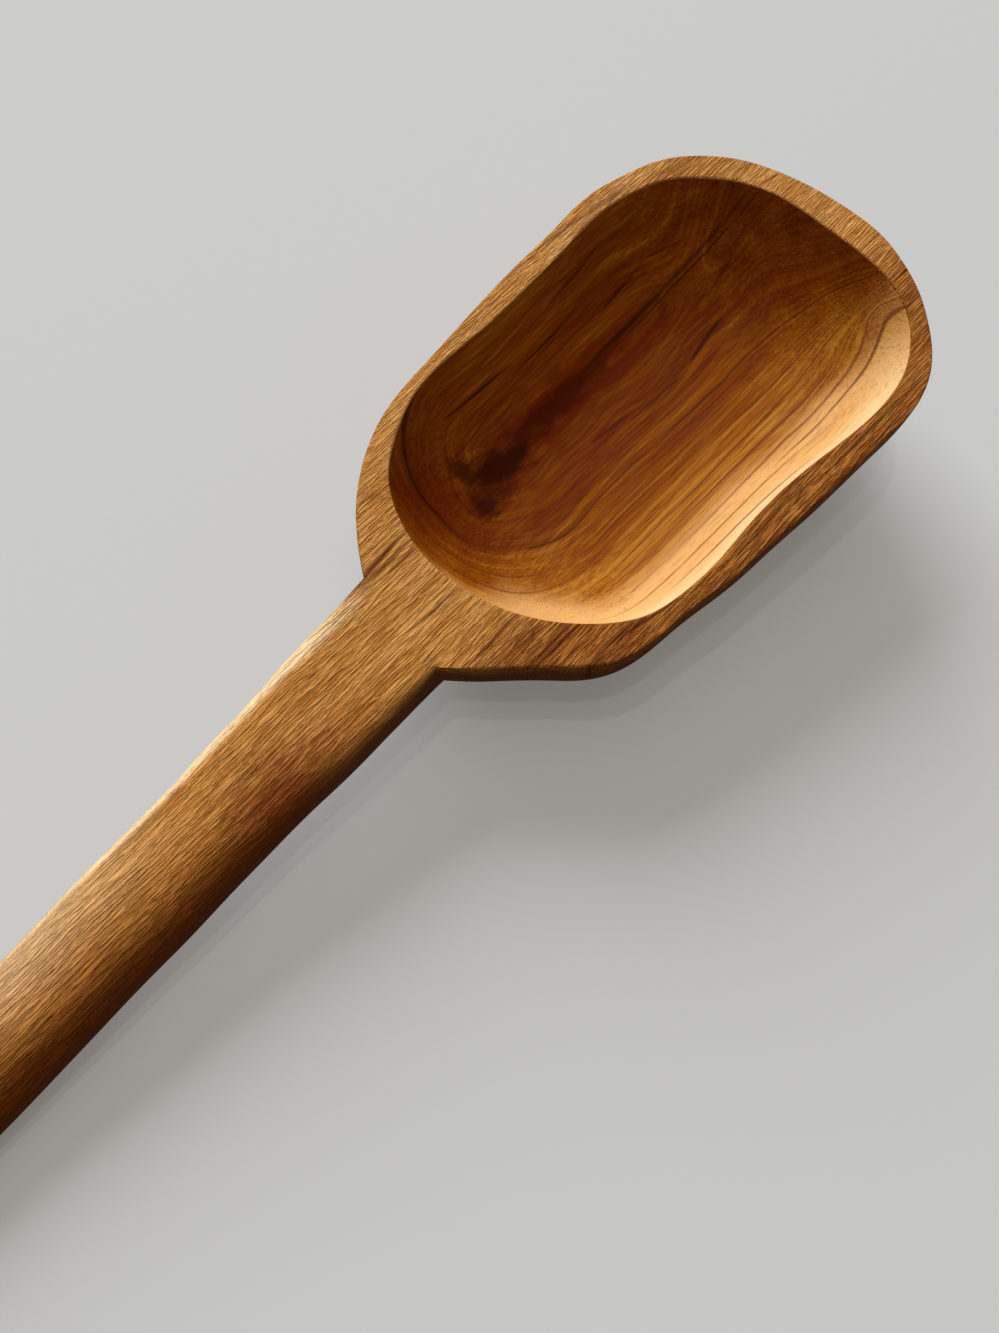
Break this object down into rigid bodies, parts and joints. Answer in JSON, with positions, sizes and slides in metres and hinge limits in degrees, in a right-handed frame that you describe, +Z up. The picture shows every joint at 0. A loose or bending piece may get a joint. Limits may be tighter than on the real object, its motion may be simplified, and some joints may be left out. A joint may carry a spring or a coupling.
{
  "type": "wooden spoon",
  "caption": "Carved wooden spoon with a deep rounded oblong bowl, square shoulders and a plain rounded handle, for serving and stirring.",
  "frame": {"origin": "centre of the bounding box in plan, on the table that the spoon rests on", "axes": "+X along the spoon towards the tip of the bowl, +Y to its left seen from above, +Z up out of the bowl"},
  "size_m": [0.2286, 0.066, 0.0283],
  "materials": {
    "wood": "oiled, hand-carved surface"
  },
  "bodies": {
    "root": {"spoon": "wood"}
  },
  "joints": []
}
